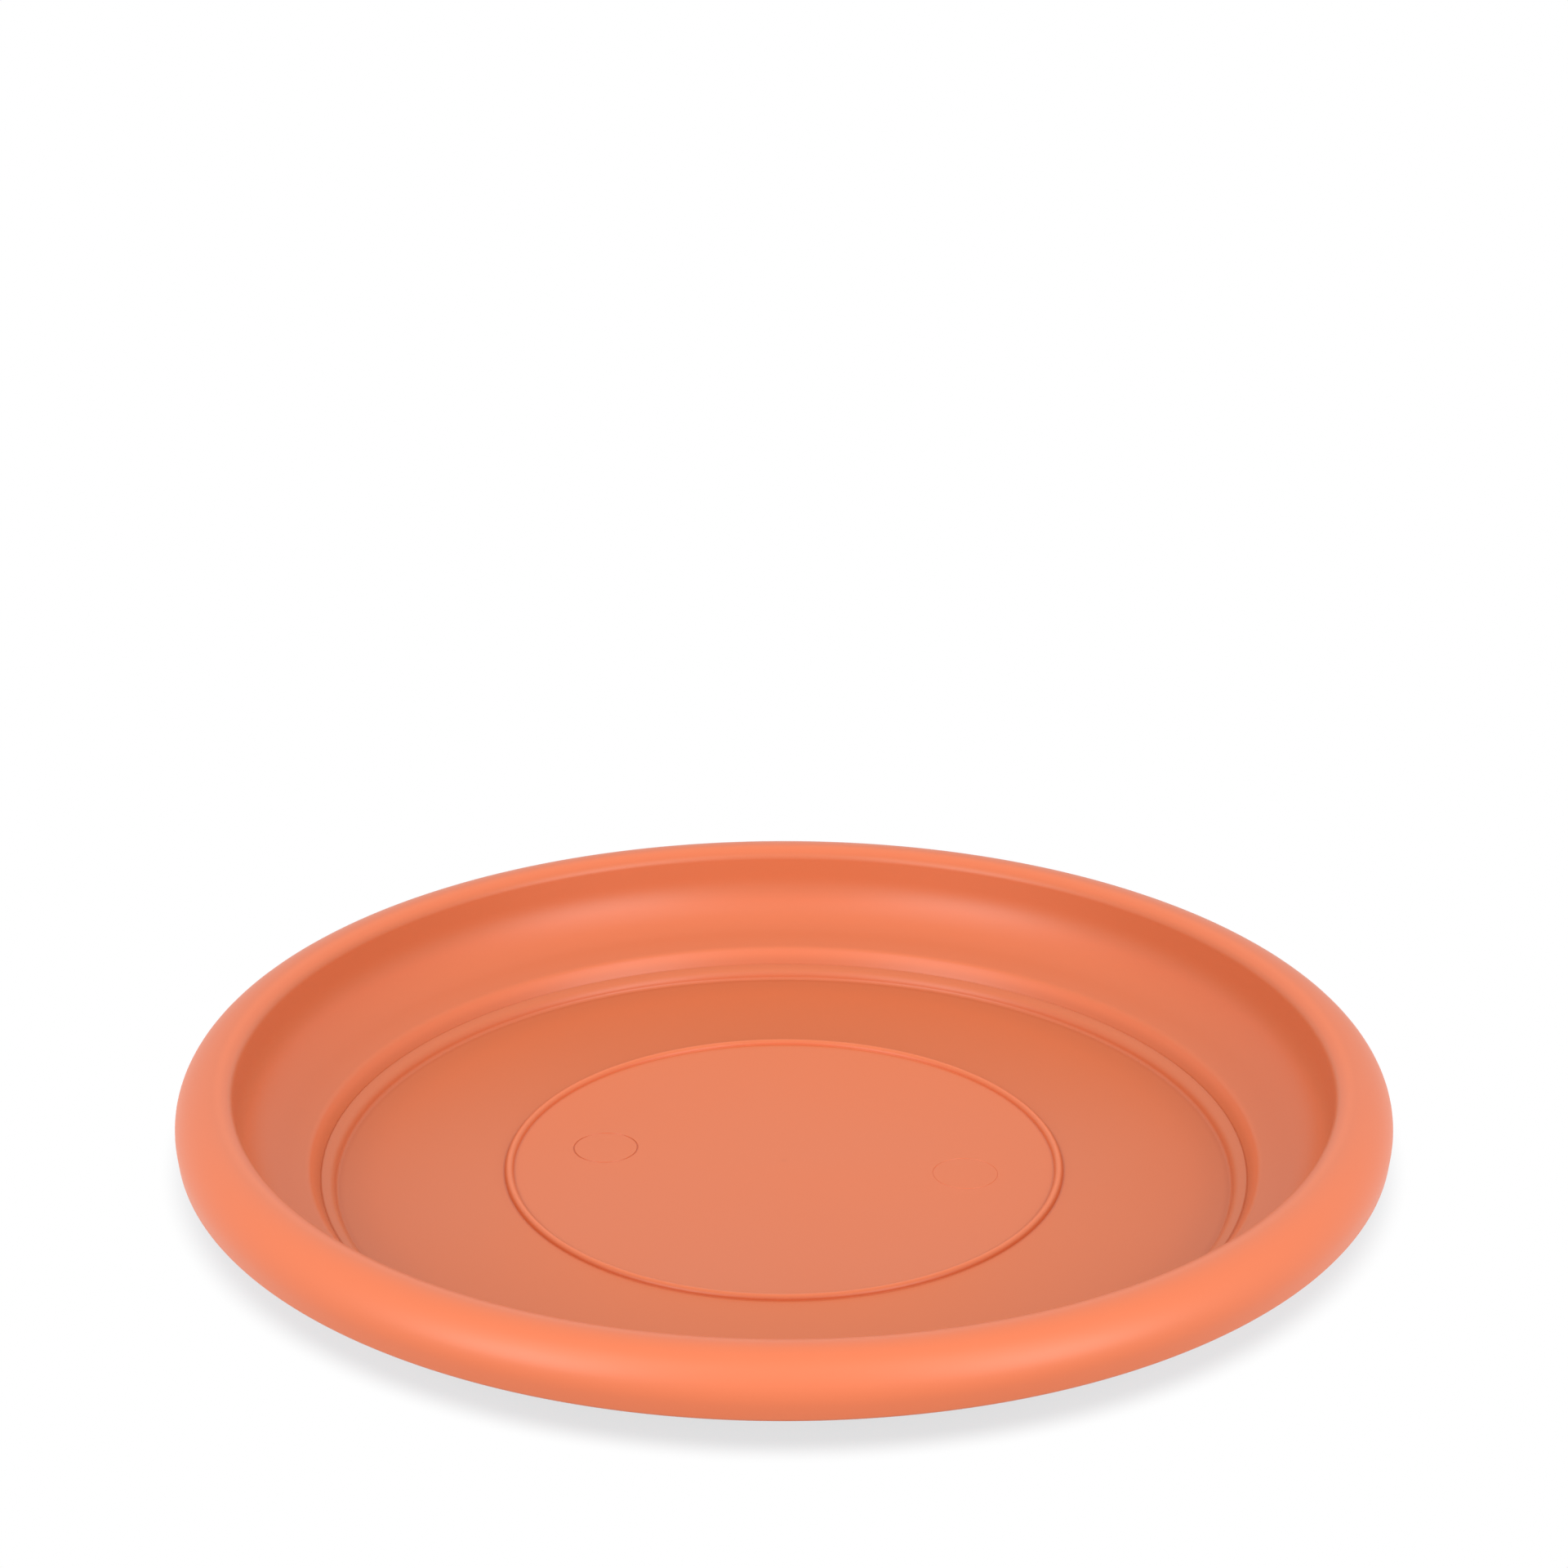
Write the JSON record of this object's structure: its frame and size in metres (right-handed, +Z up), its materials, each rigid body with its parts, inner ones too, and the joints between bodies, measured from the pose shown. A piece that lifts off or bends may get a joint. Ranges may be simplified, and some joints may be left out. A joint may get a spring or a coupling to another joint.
{
  "type": "plant saucer",
  "caption": "Round plant saucer moulded in one thin wall, with a rolled rim, a stepped shoulder, a flat floor with a raised bead and a foot ring below.",
  "frame": {"origin": "centre of the circle on which the foot ring stands", "axes": "+Z up along the axis of the round tray, +X to the right and +Y away in the picture's view"},
  "size_m": [0.3, 0.3, 0.0338],
  "materials": {
    "terracotta_plastic": "fine matt, satin at a grazing view"
  },
  "bodies": {
    "root": {"saucer": "terracotta_plastic"}
  },
  "joints": []
}
